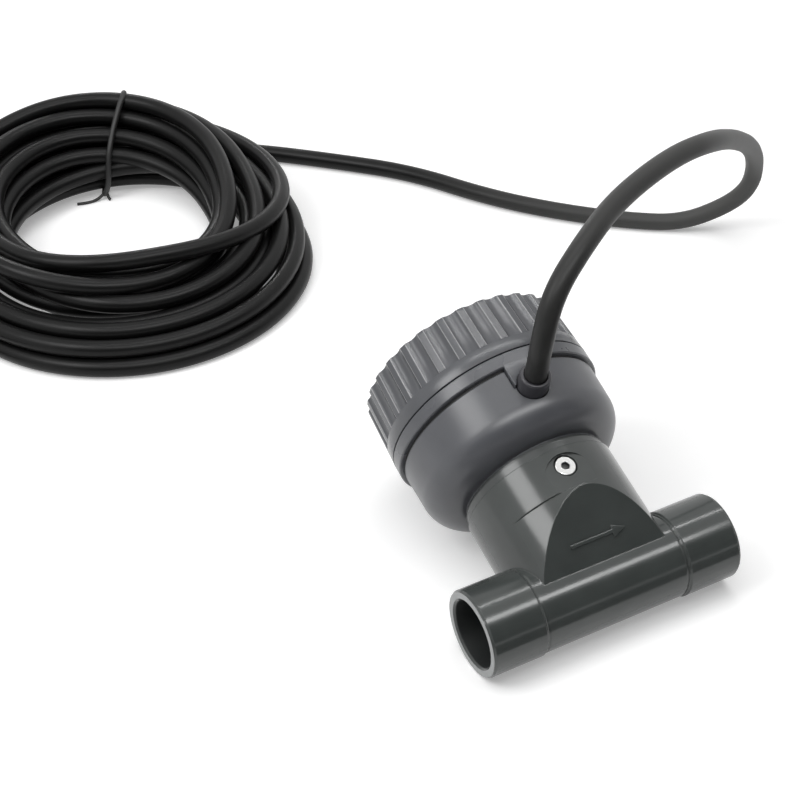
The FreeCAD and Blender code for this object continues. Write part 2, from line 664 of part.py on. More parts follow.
def lcd_frame():
    frame = plate(LCD_W, LCD_D, BOARD_TOP, FACE_BOTTOM, 0, LCD_MIDDLE)
    glass_w = LCD_W - 2 * LCD_WALL
    glass_d = LCD_D - 2 * LCD_WALL
    seat = FACE_BOTTOM - LCD_GLASS_T
    pocket = plate(glass_w, glass_d, seat, FACE_BOTTOM, 0, LCD_MIDDLE)
    hollow = plate(glass_w - 2 * LCD_WALL, glass_d - 2 * LCD_WALL, BOARD_TOP, seat, 0, LCD_MIDDLE)
    return without(frame, [pocket, hollow])


def lcd_glass():
    width = LCD_W - 2 * (LCD_WALL + TURN_GAP)
    depth = LCD_D - 2 * (LCD_WALL + TURN_GAP)
    return plate(width, depth, FACE_BOTTOM - LCD_GLASS_T, FACE_BOTTOM, 0, LCD_MIDDLE)


def faceplate():
    plain = post(NECK_BORE_R - SLIDE_GAP, FACE_BOTTOM, FACE_TOP)
    view_w = LCD_W - 2 * (LCD_WALL + LCD_LAP)
    view_d = LCD_D - 2 * (LCD_WALL + LCD_LAP)
    cuts = [plate(view_w, view_d, FACE_BOTTOM, FACE_TOP, 0, LCD_MIDDLE)]
    cuts += [post(BUTTON_R + SLIDE_GAP, FACE_BOTTOM, FACE_TOP, x, BUTTON_ROW) for x in BUTTON_XS]
    return without(plain, cuts)


def tact_switches():
    top = BOARD_TOP + SWITCH_H
    plunger_top = BUTTON_BOTTOM - BUTTON_TRAVEL - TURN_GAP
    switches = []
    for x in BUTTON_XS:
        body = plate(SWITCH_SIZE, SWITCH_SIZE, BOARD_TOP, top, x, BUTTON_ROW)
        switches.append(body.fuse(post(PLUNGER_R, top, plunger_top, x, BUTTON_ROW)).removeSplitter())
    return Part.makeCompound(switches)


def push_button(x):
    flange = post(BUTTON_R + SLIDE_GAP + BUTTON_FLANGE, BUTTON_BOTTOM, BUTTON_BOTTOM + BUTTON_FLANGE_T,
                  x, BUTTON_ROW)
    key = post(BUTTON_R, BUTTON_BOTTOM, FACE_TOP + BUTTON_RISE, x, BUTTON_ROW)
    return flange.fuse(key).removeSplitter()


# Gland and the leads inside

def cable_gland():
    boss = rod(GLAND_R, GLAND_TIP, GLAND_INNER, 0, GLAND_HEIGHT)
    rim = min(boss.Edges, key=lambda edge: edge.CenterOfMass.y)
    boss = boss.makeFillet(GLAND_ROUND, [rim])
    flange = rod(GLAND_R + GLAND_FLANGE, GLAND_SEAT, GLAND_SEAT + GLAND_FLANGE_T, 0, GLAND_HEIGHT)
    bore = rod(CABLE_R + GLAND_BORE_GAP, GLAND_TIP, GLAND_INNER, 0, GLAND_HEIGHT)
    return boss.fuse(flange).cut(bore).removeSplitter()


def cable_cores():
    entry = BOARD_BOTTOM - TERMINAL[2]
    cores = []
    for place in CORE_PLACES:
        side = place * CORE_LAY
        x = place * CORE_PITCH
        points = [(side, GLAND_INNER, GLAND_HEIGHT)]
        for at, (along, up) in zip((side, x), CORE_BENDS):
            points.append((at, GLAND_INNER + along, GLAND_HEIGHT + up))
        points += [(x, TERMINAL_ROW, entry - CORE_DROP), (x, TERMINAL_ROW, entry)]
        cores.append(bare_lead(points, CORE_R))
    return Part.makeCompound(cores)


# How the meter lies: on its two socket collars and on the bowl's round corner

def resting_tilt():
    """Angle of the branch's axis above the table, in degrees."""
    reach = math.hypot(NECK_R, CORNER_MIDDLE)
    return math.degrees(math.acos((COLLAR_R - BOWL_CORNER) / reach) - math.atan2(CORNER_MIDDLE, NECK_R))


def laid(shape, tilt):
    shape = shape.copy()
    shape.rotate(V(0, 0, 0), X_AXIS, tilt - 90)
    shape.translate(V(0, 0, COLLAR_R))
    return shape


TILT = resting_tilt()

UPRIGHT = {
    "flow_tee": flow_tee(TILT),
    "lock_screw": lock_screw(),
    "lower_housing": lower_housing(),
    "plug_o_rings": plug_o_rings(),
    "rotor_axle": rotor_axle(),
    "paddle_wheel": paddle_wheel(),
    "rotor_magnets": rotor_magnets(),
    "rotor_bushes": rotor_bushes(),
    "hall_board": hall_board(),
    "hall_wires": hall_wires(),
    "collar_ring": collar_ring(),
    "housing_gasket": housing_gasket(),
    "housing_screws": pan_screws(around(SCREW_CIRCLE, SCREW_ANGLES), WEB_TOP, SCREW_L),
    "screw_cap": screw_cap(),
    "window": window(),
    "window_seal": window_seal(),
    "main_board": main_board(),
    "board_screws": pan_screws(around(STANDOFF_CIRCLE, STANDOFF_ANGLES), BOARD_TOP, BOARD_SCREW_L),
    "board_components": board_components(),
    "terminal_block": terminal_block(),
    "lcd_frame": lcd_frame(),
    "lcd_glass": lcd_glass(),
    "faceplate": faceplate(),
    "tact_switches": tact_switches(),
    "set_button": push_button(BUTTON_XS[0]),
    "up_button": push_button(BUTTON_XS[1]),
    "down_button": push_button(BUTTON_XS[2]),
    "cable_gland": cable_gland(),
    "cable_cores": cable_cores(),
}

pieces = {name: laid(shape, TILT) for name, shape in UPRIGHT.items()}
bounds = Part.makeCompound(list(pieces.values())).optimalBoundingBox(False)
ORIGIN_SHIFT = V(-(bounds.XMin + bounds.XMax) / 2, -(bounds.YMin + bounds.YMax) / 2, -bounds.ZMin)
for shape in pieces.values():
    shape.translate(ORIGIN_SHIFT)


# Cable on the table

def on_table(point):
    """Place of an upright point once the meter lies on the table."""
    return laid(Part.Vertex(point), TILT).Point + ORIGIN_SHIFT


def oval(middle, half, level, slope):
    """Upright oval wire about a middle, tipped about X."""
    ellipse = Part.Ellipse(V(0, 0, 0), max(half), min(half)).toShape()
    if half[1] > half[0]:
        ellipse.rotate(V(0, 0, 0), Z_AXIS, 90)
    ellipse.rotate(V(0, 0, 0), X_AXIS, slope)
    ellipse.translate(V(middle[0], middle[1], level))
    return Part.Wire(ellipse)


def coil_body():
    """Leaning ring that the turns of the coil fill."""
    walls = []
    for side in (1, 2):
        foot = oval(COIL_FOOT[0], COIL_FOOT[side], 0, 0)
        crown = oval(COIL_CROWN[0], COIL_CROWN[side], COIL_H, COIL_LEAN)
        walls.append(Part.makeLoft([foot, crown], True, True))
    return walls[0].cut(walls[1])


def cable_end_cores():
    """Cores that come out of the stripped end and fan out on the table."""
    end = V(*TAIL_POINTS[-1])
    ahead = end - V(*TAIL_POINTS[-2])
    ahead.normalize()
    aside = Z_AXIS.cross(ahead)
    drop = Z_AXIS * (CABLE_R - CORE_R)
    cores = []
    for place in CORE_PLACES:
        points = []
        for along, spread, down in STRIP_BENDS:
            side = place * (CORE_LAY + spread * STRIP_SPREAD)
            points.append(tuple(end + ahead * along * STRIP_LENGTH + aside * side - drop * down))
        cores.append(bare_lead(points, CORE_R))
    return Part.makeCompound(cores)


def tied_corner(ring, side, level, slope):
    """Point (y, z) where the tie's plane meets one edge of the coil, at the back."""
    across = math.acos((TIE_X - ring[0][0]) / ring[side][0])
    reach = ring[side][1] * math.sin(across)
    angle = math.radians(slope)
    return V(TIE_X - TIE_W / 2, ring[0][1] + reach * math.cos(angle), level + reach * math.sin(angle))


def coil_tie():
    """Band right round the coil's section, lying under the coil in a groove as deep as the band."""
    corners = [tied_corner(COIL_FOOT, 2, 0, 0), tied_corner(COIL_FOOT, 1, 0, 0),
               tied_corner(COIL_CROWN, 1, COIL_H, COIL_LEAN), tied_corner(COIL_CROWN, 2, COIL_H, COIL_LEAN)]
    section = Part.makePolygon(corners + corners[:1])
    thick = V(TIE_W, 0, 0)
    outer = Part.Face(section.makeOffset2D(TIE_T)).extrude(thick)
    inner = Part.Face(section).extrude(thick)
    reach = 2 * COIL_FOOT[0][1]
    outer = outer.common(block(-reach, reach, 0, reach, 0, reach))
    return outer.cut(block(-reach, reach, 0, reach, TIE_T, reach).common(inner))


cable_start = on_table(V(0, GLAND_INNER, GLAND_HEIGHT))
gland_mouth = on_table(V(0, GLAND_TIP, GLAND_HEIGHT))
cable, cable_path, cable_radii = lead([tuple(cable_start), tuple(gland_mouth)] + LEAD_POINTS, CABLE_R)
tail, tail_path, tail_radii = lead(TAIL_POINTS, CABLE_R)
pieces["cable"] = cable
pieces["cable_tail"] = tail
pieces["cable_end_cores"] = cable_end_cores()
pieces["coil_tie"] = coil_tie()
pieces["cable_coil"] = coil_body().cut(pieces["coil_tie"])

os.makedirs("parts", exist_ok=True)
for name, shape in pieces.items():
    shape.exportStep("parts/" + name + ".step")

print("rest tilt", round(TILT, 3), "gland mouth", [round(c, 2) for c in gland_mouth])
for name, path, radii in (("cable", cable_path, cable_radii), ("tail", tail_path, tail_radii)):
    print(name, "length", round(path.Length, 1), "radii", [round(r, 1) for r in radii])
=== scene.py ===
import bmesh
import bpy
import math
from mathutils import Matrix, Vector


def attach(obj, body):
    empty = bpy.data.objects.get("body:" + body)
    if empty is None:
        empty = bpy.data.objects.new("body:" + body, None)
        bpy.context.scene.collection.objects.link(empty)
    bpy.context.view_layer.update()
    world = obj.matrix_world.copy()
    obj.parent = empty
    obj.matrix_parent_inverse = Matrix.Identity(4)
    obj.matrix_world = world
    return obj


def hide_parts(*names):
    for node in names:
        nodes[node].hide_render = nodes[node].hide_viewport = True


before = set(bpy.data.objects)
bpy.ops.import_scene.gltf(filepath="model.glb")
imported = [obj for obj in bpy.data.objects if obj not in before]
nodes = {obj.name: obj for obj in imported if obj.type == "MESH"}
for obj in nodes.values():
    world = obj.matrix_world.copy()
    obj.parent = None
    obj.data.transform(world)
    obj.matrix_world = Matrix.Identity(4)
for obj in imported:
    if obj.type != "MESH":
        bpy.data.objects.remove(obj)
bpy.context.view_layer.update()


# Tee: one injection-moulded piece of dark slate PVC with a socket at each end of its run.
# The mould leaves it glossy, with a faint orange peel, softened edges and rubs from handling.

MM = 0.001
PIPE_Y, PIPE_Z = -47.092, 16.25   # axis of the run
RUN_END = 51.3
BORE_R = 12.5


def ranged(tree, value, low, high, to_low=0.0, to_high=1.0):
    """Carries a value from one range to another, and holds it there."""
    node = tree.nodes.new("ShaderNodeMapRange")
    for socket, number in zip(("From Min", "From Max", "To Min", "To Max"), (low, high, to_low, to_high)):
        node.inputs[socket].default_value = number
    tree.links.new(value, node.inputs["Value"])
    return node.outputs["Result"]


def finish(name, colour, rough, grain=900.0, depth=0.02, mottle=0.08, rub_and_highlight=0.06, edge=0.3, worn=0.25, metal=0.0,
           gloss=0.5):
    """Moulded plastic or metal: mottled colour, uneven gloss, fine grain, and rounded edges that are rubbed lighter.

    The grain is counted per metre, and its depth and the rounding of the edges are in millimetres.
    """
    material = bpy.data.materials.new(name)
    material.use_nodes = True
    tree = material.node_tree
    shader = tree.nodes["Principled BSDF"]
    shader.inputs["Metallic"].default_value = metal
    shader.inputs["Specular IOR Level"].default_value = gloss
    place = tree.nodes.new("ShaderNodeTexCoord")

    def noise(scale, detail):
        node = tree.nodes.new("ShaderNodeTexNoise")
        node.inputs["Scale"].default_value = scale
        node.inputs["Detail"].default_value = detail
        tree.links.new(place.outputs["Object"], node.inputs["Vector"])
        return node.outputs["Fac"]

    tint = tree.nodes.new("ShaderNodeValToRGB")
    for stop, place_on, share in zip(tint.color_ramp.elements, (0.3, 0.7), (1 - mottle, 1 + mottle)):
        stop.position = place_on
        stop.color = [min(1.0, c * share) for c in colour] + [1.0]
    tree.links.new(noise(70.0, 4.0), tint.inputs["Fac"])
    rounded = tree.nodes.new("ShaderNodeBevel")
    rounded.samples = 4
    rounded.inputs["Radius"].default_value = edge * MM
    facing = tree.nodes.new("ShaderNodeNewGeometry")
    bend = tree.nodes.new("ShaderNodeVectorMath")
    bend.operation = "DOT_PRODUCT"
    tree.links.new(rounded.outputs["Normal"], bend.inputs[0])
    tree.links.new(facing.outputs["Normal"], bend.inputs[1])
    wear_and_highlight = tree.nodes.new("ShaderNodeMix")
    wear_and_highlight.data_type = "RGBA"
    tree.links.new(ranged(tree, bend.outputs["Value"], 0.85, 0.99, worn, 0.0), wear_and_highlight.inputs["Factor"])
    tree.links.new(tint.outputs["Color"], wear_and_highlight.inputs["A"])
    wear_and_highlight.inputs["B"].default_value = [min(1.0, 0.06 + 2.2 * c) for c in colour] + [1.0]
    tree.links.new(wear_and_highlight.outputs["Result"], shader.inputs["Base Color"])
    sheen = ranged(tree, noise(38.0, 6.0), 0.3, 0.7, rough - rub_and_highlight, rough + rub_and_highlight)
    tree.links.new(sheen, shader.inputs["Roughness"])
    bump = tree.nodes.new("ShaderNodeBump")
    bump.inputs["Strength"].default_value = 0.5
    bump.inputs["Distance"].default_value = depth * MM
    tree.links.new(noise(grain, 2.0), bump.inputs["Height"])
    tree.links.new(rounded.outputs["Normal"], bump.inputs["Normal"])
    tree.links.new(bump.outputs["Normal"], shader.inputs["Normal"])
    return material


def dress(material, *names):
    """Gives CAD nodes one material."""
    for name in names:
        slots = nodes[name].data.materials
        slots.clear()
        slots.append(material)


def toned(material, measure, low, high, colour, rough):
    """Another colour and roughness where a measure of Object coordinates has passed from low to high."""
    tree = material.node_tree
    shader = tree.nodes["Principled BSDF"]
    share = ranged(tree, measure(tree, tree.nodes["Texture Coordinate"].outputs["Object"]), low, high)
    for socket, kind, value in (("Base Color", "RGBA", (*colour, 1)), ("Roughness", "FLOAT", rough)):
        mix = tree.nodes.new("ShaderNodeMix")
        mix.data_type = kind
        tree.links.new(share, mix.inputs["Factor"])
        tree.links.new(shader.inputs[socket].links[0].from_socket, mix.inputs["A"])
        mix.inputs["B"].default_value = value
        tree.links.new(mix.outputs["Result"], shader.inputs[socket])


def vector_math(tree, operation, place, value):
    """Node that works on a place and a fixed vector."""
    node = tree.nodes.new("ShaderNodeVectorMath")
    node.operation = operation
    node.inputs[1].default_value = value
    tree.links.new(place, node.inputs[0])
    return node


def away_from(point, axes=(1, 1, 1)):
    """Measure: distance from a point, over the axes that count."""
    def measure(tree, place):
        counted = vector_math(tree, "MULTIPLY", place, axes)
        middle = [p * a for p, a in zip(point, axes)]
        return vector_math(tree, "DISTANCE", counted.outputs["Vector"], middle).outputs["Value"]
    return measure


def along(direction):
    """Measure: distance along a direction."""
    def measure(tree, place):
        return vector_math(tree, "DOT_PRODUCT", place, direction).outputs["Value"]
    return measure


slate_gloss = finish("slate_gloss", (0.052, 0.058, 0.056), 0.16, grain=420.0, depth=0.03, rub_and_highlight=0.04, edge=0.5)
# The end faces are painted pale and dull, painted light for the light they catch
toned(slate_gloss, away_from((0, 0, 0), axes=(1, 0, 0)), (RUN_END - 0.15) * MM, (RUN_END - 0.05) * MM,
      (0.34, 0.35, 0.35), 0.45)
# The bore is painted dark and dull, a painted shade in its depth
toned(slate_gloss, away_from((0, PIPE_Y * MM, PIPE_Z * MM), axes=(0, 1, 1)), (BORE_R + 0.4) * MM, (BORE_R + 0.1) * MM,
      (0.018, 0.020, 0.020), 0.5)
dress(slate_gloss, "flow_tee")


# Flow arrow: a plain raised arrow moulded on the tee's sloping front, along the flow.
# It stands half a millimetre proud, with softened edges, in the tee's own plastic.

HEAD_RISE = math.radians(21.771)   # of the head's axis above the table
HEAD = Matrix.Translation((0, PIPE_Y * MM, PIPE_Z * MM)) @ Matrix.Rotation(HEAD_RISE - math.pi / 2, 4, "X")
FLAT_SLOPE = math.radians(30)
FLAT_MIDDLE = Vector((0, -20.1, 8.3))
ARROW_RISE = 0.5
ARROW_SUNK = 0.4
ARROW_OUTLINE = [(-11, -0.7), (6, -0.7), (6, -2.4), (11.5, 0), (6, 2.4), (6, 0.7), (-11, 0.7)]


def prism(shape, outline, low, high):
    """Adds a closed upright prism in millimetres to a bmesh. The outline runs counter-clockwise."""
    bottom = [shape.verts.new((x * MM, y * MM, low * MM)) for x, y in outline]
    top = [shape.verts.new((x * MM, y * MM, high * MM)) for x, y in outline]
    shape.faces.new(top)
    shape.faces.new(bottom[::-1])
    for i in range(len(outline)):
        shape.faces.new((bottom[i - 1], bottom[i], top[i], top[i - 1]))


def piece_from(shape, name, place, material):
    """Turns a bmesh into an object at the origin, with its place in its mesh."""
    mesh = bpy.data.meshes.new(name)
    shape.to_mesh(mesh)
    shape.free()
    mesh.transform(place)
    mesh.materials.append(material)
    piece = bpy.data.objects.new(name, mesh)
    bpy.context.scene.collection.objects.link(piece)
    return piece


def settled(source, smooth=30):
    """Replaces a curve or a modified mesh by the plain mesh that it makes."""
    name = source.name
    made = source.evaluated_get(bpy.context.evaluated_depsgraph_get())
    mesh = bpy.data.meshes.new_from_object(made)
    bpy.data.objects.remove(source)
    mesh.name = name
    mesh.shade_smooth()
    mesh.set_sharp_from_angle(angle=math.radians(smooth))
    piece = bpy.data.objects.new(name, mesh)
    bpy.context.scene.collection.objects.link(piece)
    return piece


def softened(piece, width):
    """Rounds a piece's edges, width in millimetres."""
    bevel = piece.modifiers.new("soft_edges", "BEVEL")
    bevel.width = width * MM
    bevel.segments = 3
    bevel.limit_method = "ANGLE"
    return settled(piece)


arrow = bmesh.new()
prism(arrow, ARROW_OUTLINE, -ARROW_SUNK, ARROW_RISE)
on_flat = HEAD @ Matrix.Translation(FLAT_MIDDLE * MM) @ Matrix.Rotation(FLAT_SLOPE + math.pi / 2, 4, "X")
flow_arrow = softened(piece_from(arrow, "flow_arrow", on_flat, slate_gloss), 0.25)
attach(flow_arrow, "meter_body")


# Lock screw and the other screws: stainless, turned and rolled, bright on the head's rim.
# The axle of the wheel is ground from the same bar.

stainless = finish("stainless", (0.50, 0.50, 0.49), 0.26, grain=2600.0, depth=0.008, mottle=0.04, worn=0.1, metal=1.0)
dress(stainless, "housing_screws", "board_screws", "rotor_axle")
# What lies within reach of a core behind the face is the socket, painted dark as a painted shade in its recess
LOCK_FACE = Vector((0, -28.35, 34.4))
LOCK_CORE = HEAD @ ((LOCK_FACE + Vector((0, 4.6, 0))) * MM)
SOCKET_REACH = 4.8
lock_steel = finish("lock_steel", (0.72, 0.72, 0.71), 0.15, grain=2600.0, depth=0.004, mottle=0.04, rub_and_highlight=0.02,
                    worn=0.1, metal=1.0)
toned(lock_steel, away_from(LOCK_CORE), (SOCKET_REACH + 0.1) * MM, SOCKET_REACH * MM, (0.11, 0.11, 0.11), 0.4)
dress(lock_steel, "lock_screw")


# Wheel: white moulded paddles on sintered bushes, with a ferrite magnet set into each tip.
# It turns on the axle inside the plug's nose, in the flow.

dress(finish("wheel_white", (0.70, 0.70, 0.68), 0.36, grain=1400.0), "paddle_wheel")
dress(finish("sintered_bronze", (0.30, 0.21, 0.12), 0.5, grain=5200.0, depth=0.03, metal=1.0), "rotor_bushes")
dress(finish("ferrite", (0.045, 0.043, 0.042), 0.55, grain=4200.0, depth=0.03, mottle=0.2), "rotor_magnets")


# Lower housing: a satin grey bowl with a plug below it that reaches into the tee.
# The collar ring screwed on it is a paler grey, and black rubber seals the joints.

UP_HEAD = HEAD.col[2].xyz
FLANGE_TOP = (HEAD @ Vector((0, 0, 46.0 * MM))).dot(UP_HEAD)
bowl_grey = finish("bowl_grey", (0.088, 0.091, 0.100), 0.32, grain=1500.0, depth=0.03, rub_and_highlight=0.03, worn=0.3)
# The plug's flange under the bowl is darker and glossier, like the tee
toned(bowl_grey, along(UP_HEAD), FLANGE_TOP, FLANGE_TOP - 0.3 * MM, (0.056, 0.061, 0.060), 0.2)
dress(bowl_grey, "lower_housing")
band_grey = finish("band_grey", (0.086, 0.089, 0.098), 0.28, grain=1500.0, depth=0.03, rub_and_highlight=0.03, worn=0.3)
dress(band_grey, "collar_ring")
black_rubber = finish("black_rubber", (0.012, 0.012, 0.012), 0.55, grain=2400.0, mottle=0.2)
dress(black_rubber, "plug_o_rings", "housing_gasket", "window_seal")


# Collar tab: the band's lower edge runs down into a tab beside the gland, level with the band's face.
# It is arched over the gland's boss.

TAB_BOTTOM, BAND_EDGE, TAB_TOP = 64.5, 73.4, 75.0
TAB_FACE, TAB_SUNK, TAB_BACK = 41.72, 41.5, 39.9
BOSS_AXIS, BOSS_CLEAR = 63.0, 6.0
TAB_ACROSS = (0.8, 2.2, 3.5, 4.5, 5.2, 5.7, 5.9, 6.2, 6.5)   # columns of the mesh on each side of the middle
tab = bmesh.new()
columns = []
for x in [-x for x in reversed(TAB_ACROSS)] + list(TAB_ACROSS):
    foot = max(TAB_BOTTOM, BOSS_AXIS + math.sqrt(max(0, BOSS_CLEAR ** 2 - x * x)))
    column = []
    for r, z in ((TAB_FACE, foot), (TAB_FACE, BAND_EDGE), (TAB_SUNK, TAB_TOP), (TAB_BACK, TAB_TOP), (TAB_BACK, foot)):
        column.append(tab.verts.new((x * MM, -math.sqrt(r * r - x * x) * MM, z * MM)))
    columns.append(column)
for a, b in zip(columns, columns[1:]):
    for i in range(len(a)):
        tab.faces.new((a[i - 1], b[i - 1], b[i], a[i]))
tab.faces.new(columns[0])
tab.faces.new(columns[-1][::-1])
bmesh.ops.recalc_face_normals(tab, faces=tab.faces)
collar_tab = softened(piece_from(tab, "collar_tab", HEAD, band_grey), 0.2)
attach(collar_tab, "meter_body")


# Neck thread: one rounded ridge that winds up the collar ring's neck, under the cap.
# It is moulded with the ring and shows when the cap is screwed off.

NECK_R = 37.35
THREAD_PITCH = 2.5
THREAD_RISE = 0.3
THREAD_FROM, THREAD_TO = 79.6, 94.0


def geometry_tree(name, sockets):
    """Geometry Nodes tree with named inputs, a Finish, and one geometry as its result."""
    tree = bpy.data.node_groups.new(name, "GeometryNodeTree")
    inputs = {}
    for label, kind in (*sockets, ("Finish", "Material")):
        inputs[label] = tree.interface.new_socket(label, in_out="INPUT", socket_type="NodeSocket" + kind).identifier
    tree.interface.new_socket("Result", in_out="OUTPUT", socket_type="NodeSocketGeometry")
    return tree, inputs, tree.nodes.new("NodeGroupInput")


def coat(tree, given, geometry):
    """Gives the geometry the Finish, and makes it the tree's result."""
    coated = tree.nodes.new("GeometryNodeSetMaterial")
    tree.links.new(geometry, coated.inputs["Geometry"])
    tree.links.new(given.outputs["Finish"], coated.inputs["Material"])
    tree.links.new(coated.outputs["Geometry"], tree.nodes.new("NodeGroupOutput").inputs["Result"])


def wound_ridge():
    """Geometry Nodes tree: a spiral swept by a small round."""
    sizes = [(label, "Float") for label in ("Turns", "Radius", "Rise", "Ridge")]
    tree, inputs, given = geometry_tree("wound_ridge", sizes)
    spiral = tree.nodes.new("GeometryNodeCurveSpiral")
    spiral.inputs["Resolution"].default_value = 72
    for label, socket in (("Turns", "Rotations"), ("Radius", "Start Radius"), ("Radius", "End Radius"),
                          ("Rise", "Height")):
        tree.links.new(given.outputs[label], spiral.inputs[socket])
    ridge = tree.nodes.new("GeometryNodeCurvePrimitiveCircle")
    ridge.inputs["Resolution"].default_value = 8
    tree.links.new(given.outputs["Ridge"], ridge.inputs["Radius"])
    sweep = tree.nodes.new("GeometryNodeCurveToMesh")
    sweep.inputs["Fill Caps"].default_value = True
    tree.links.new(spiral.outputs["Curve"], sweep.inputs["Curve"])
    tree.links.new(ridge.outputs["Curve"], sweep.inputs["Profile Curve"])
    apart = tree.nodes.new("GeometryNodeRealizeInstances")
    tree.links.new(sweep.outputs["Mesh"], apart.inputs["Geometry"])
    coat(tree, given, apart.outputs["Geometry"])
    return tree, inputs


def grown(name, mesh, tree, inputs, values):
    """Object whose Geometry Nodes result has been made a plain mesh."""
    source = bpy.data.objects.new(name, mesh)
    bpy.context.scene.collection.objects.link(source)
    modifier = source.modifiers.new(name, "NODES")
    modifier.node_group = tree
    for label, value in values.items():
        modifier[inputs[label]] = value
    return settled(source)


thread_tree, thread_inputs = wound_ridge()
neck_thread = grown("neck_thread", bpy.data.meshes.new("neck_thread"), thread_tree, thread_inputs,
                    {"Turns": (THREAD_TO - THREAD_FROM) / THREAD_PITCH, "Radius": NECK_R * MM,
                     "Rise": (THREAD_TO - THREAD_FROM) * MM, "Ridge": THREAD_RISE * MM, "Finish": band_grey})
neck_thread.data.transform(HEAD @ Matrix.Translation((0, 0, THREAD_FROM * MM)))
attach(neck_thread, "meter_body")


# Boards: green glass-epoxy with tinned tracks, dark chips, and a green terminal block for the cable.
# The small upright board in the plug carries the pickup that feels the magnets pass.

def circuit(name, mask, track):
    """Solder mask over a grid of tracks, a little raised."""
    material = finish(name, mask, 0.34, grain=2600.0, worn=0.0)
    tree = material.node_tree
    shader = tree.nodes["Principled BSDF"]
    place = tree.nodes["Texture Coordinate"]
    tracks = tree.nodes.new("ShaderNodeTexBrick")
    tracks.inputs["Scale"].default_value = 160.0
    tracks.inputs["Mortar Size"].default_value = 0.06
    tree.links.new(place.outputs["Object"], tracks.inputs["Vector"])
    laid = tree.nodes.new("ShaderNodeMix")
    laid.data_type = "RGBA"
    laid.inputs["B"].default_value = (*track, 1)
    tree.links.new(tracks.outputs["Fac"], laid.inputs["Factor"])
    tree.links.new(tree.nodes["Mix"].outputs["Result"], laid.inputs["A"])
    tree.links.new(laid.outputs["Result"], shader.inputs["Base Color"])
    return material


dress(circuit("board_green", (0.010, 0.085, 0.035), (0.06, 0.21, 0.09)), "main_board", "hall_board")
chip_black = finish("chip_black", (0.018, 0.018, 0.020), 0.45, grain=3200.0, depth=0.03)
dress(chip_black, "board_components", "tact_switches")
dress(finish("terminal_green", (0.05, 0.25, 0.10), 0.42, grain=1600.0), "terminal_block")


# Inner leads: thin cores from the pickup and from the cable, each in coloured insulation.
# The colours change across the row, so that each core can be followed to its clamp.

def striped(name, colours, pitch):
    """Insulation whose colour changes from core to core along X, about the middle of the row."""
    material = finish(name, colours[0], 0.38, grain=2000.0, worn=0.0)
    tree = material.node_tree
    across = along((1, 0, 0))(tree, tree.nodes["Texture Coordinate"].outputs["Object"])
    reach = len(colours) * pitch * MM / 2
    row = tree.nodes.new("ShaderNodeValToRGB")
    row.color_ramp.interpolation = "CONSTANT"
    stops = row.color_ramp.elements
    while len(stops) < len(colours):
        stops.new(1.0)
    for i, colour in enumerate(colours):
        stops[i].position = i / len(colours)
        stops[i].color = (*colour, 1)
    tree.links.new(ranged(tree, across, -reach, reach), row.inputs["Fac"])
    tree.links.new(row.outputs["Color"], tree.nodes["Principled BSDF"].inputs["Base Color"])
    return material


CORE_COLOURS = ((0.16, 0.055, 0.022), (0.62, 0.62, 0.60), (0.02, 0.06, 0.32), (0.016, 0.016, 0.016))
dress(striped("core_colours", CORE_COLOURS, 2.6), "cable_cores")
dress(striped("pickup_colours", ((0.45, 0.02, 0.02), (0.016, 0.016, 0.016), (0.55, 0.38, 0.03)), 3.0), "hall_wires")


# Display: a liquid-crystal glass in a black frame under a charcoal face, with figures for the rate and the total.
# Unlit bars of the figures show faintly, as they do on such a glass.

dress(finish("frame_black", (0.014, 0.014, 0.015), 0.5, grain=1800.0), "lcd_frame")
dress(finish("crystal_grey", (0.36, 0.41, 0.33), 0.16, grain=3000.0, depth=0.004, mottle=0.03, worn=0.0), "lcd_glass")
dress(finish("face_charcoal", (0.030, 0.031, 0.034), 0.5, grain=2400.0, depth=0.03), "faceplate")
GLASS_TOP = 91.5
FACE_TOP = 93.5
LCD_MIDDLE = 4.5
BARS = {"0": "abcdef", "1": "bc", "2": "abdeg", "3": "abcdg", "4": "bcfg", "5": "acdfg", "6": "acdefg", "7": "abc",
        "8": "abcdefg", "9": "abcdfg"}
BAR_PLACES = {"a": (0.5, 2, 0), "b": (1, 1.5, 1), "c": (1, 0.5, 1), "d": (0.5, 0, 0), "e": (0, 0.5, 1),
              "f": (0, 1.5, 1), "g": (0.5, 1, 0)}


def figures(shape, text, left, foot, height, low, high):
    """Adds seven-bar figures, leaning a little, with a dot for each point in the text."""
    side = height / 2
    width = 0.15 * height
    reach = side / 2 - 0.12 * width
    lean = 0.09
    advance = 0.86 * height
    dot_back = 0.26 * height
    x = left
    for sign in text:
        if sign == ".":
            dot = [(-0.5, 0), (0.5, 0), (0.5, 1), (-0.5, 1)]
            at = x - dot_back
            prism(shape, [(at + width * u, foot + width * (v - 0.5)) for u, v in dot], low, high)
            continue
        for bar in BARS[sign]:
            across, up, upright = BAR_PLACES[bar]
            bar_shape = [(-reach, 0), (width / 2 - reach, -width / 2), (reach - width / 2, -width / 2), (reach, 0),
                         (reach - width / 2, width / 2), (width / 2 - reach, width / 2)]
            if upright:
                bar_shape = [(-v, u) for u, v in bar_shape]
            outline = []
            for u, v in bar_shape:
                rise = up * side + v
                outline.append((x + across * side + u + lean * rise, foot + rise))
            prism(shape, outline, low, high)
        x += advance


def lcd_row(name, rows, thick, material):
    """One layer of the display's figures, on top of its glass."""
    shape = bmesh.new()
    for text, left, foot, height in rows:
        figures(shape, text, left, foot, height, GLASS_TOP, GLASS_TOP + thick)
    row = piece_from(shape, name, HEAD, material)
    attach(row, "meter_body")


